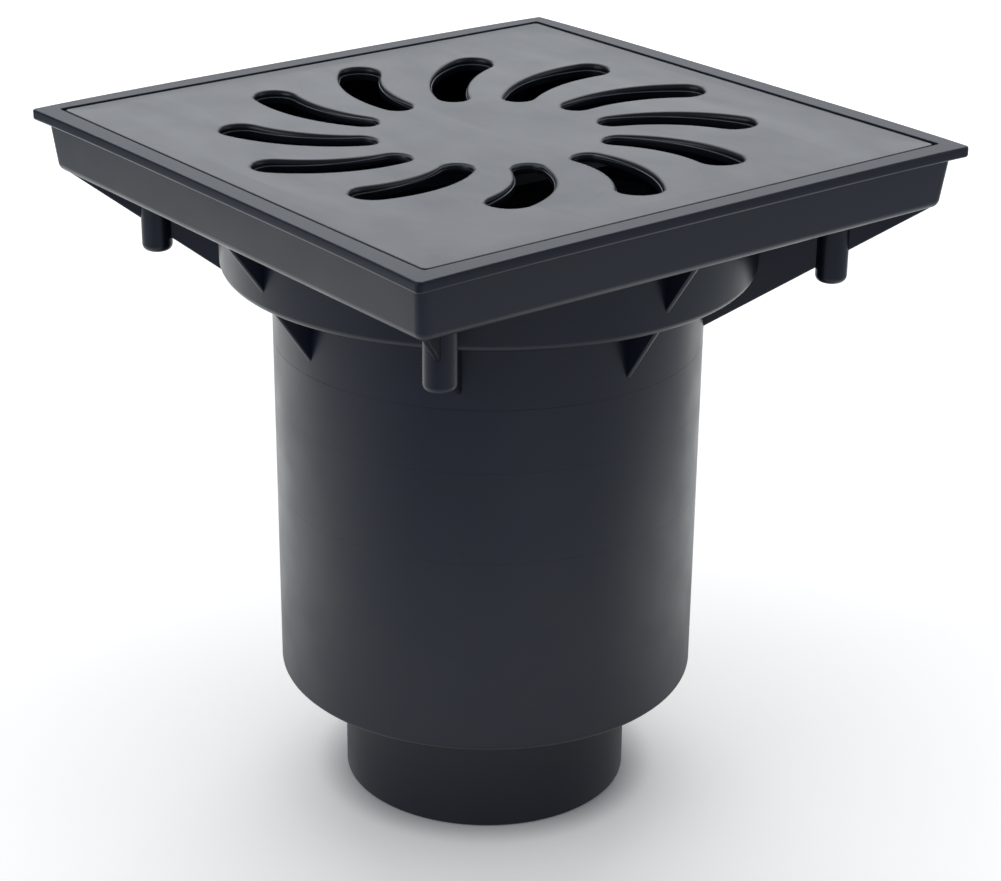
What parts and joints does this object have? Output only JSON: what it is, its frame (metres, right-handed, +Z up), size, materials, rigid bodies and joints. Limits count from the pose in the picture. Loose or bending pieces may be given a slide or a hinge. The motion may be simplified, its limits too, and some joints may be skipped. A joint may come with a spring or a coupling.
{
  "type": "yard drain",
  "caption": "Square yard drain with a swirl-slotted lift-out grate, ribbed tray, round barrel and pipe spigot, over a leaf basket and a counterweighted flap trap.",
  "frame": {"origin": "centre of the outlet spigot's foot, the lowest point of the drain", "axes": "+Z up, along the spigot and the barrel; X and Y along the sides of the square tray; the trap's flap hangs down towards -X when it opens"},
  "size_m": [0.243, 0.243, 0.261],
  "materials": {
    "body_plastic": "charcoal black polypropylene, injection-moulded, fine matt grain with a soft sheen",
    "grate_plastic": "charcoal black polypropylene, injection-moulded, fine matt grain with a soft sheen",
    "basket_plastic": "black polypropylene, smooth matt",
    "trap_plastic": "grey polypropylene, smooth matt",
    "gasket_rubber": "black rubber, dull",
    "trap_steel": "stainless steel, drawn"
  },
  "bodies": {
    "drain": {"drain_body": "body_plastic", "grate": "grate_plastic", "leaf_basket": "basket_plastic", "trap_deck": "trap_plastic", "hinge_pin": "trap_steel"},
    "flap": {"trap_flap": "trap_plastic", "flap_gasket": "gasket_rubber", "counterweight": "trap_steel"}
  },
  "joints": [
    {"name": "flap_hinge", "type": "hinge", "parent": "drain", "child": "flap", "pos_m": [0.018, 0, 0.0972], "axis": [0, -1, 0], "range_deg": [0, 55]}
  ]
}
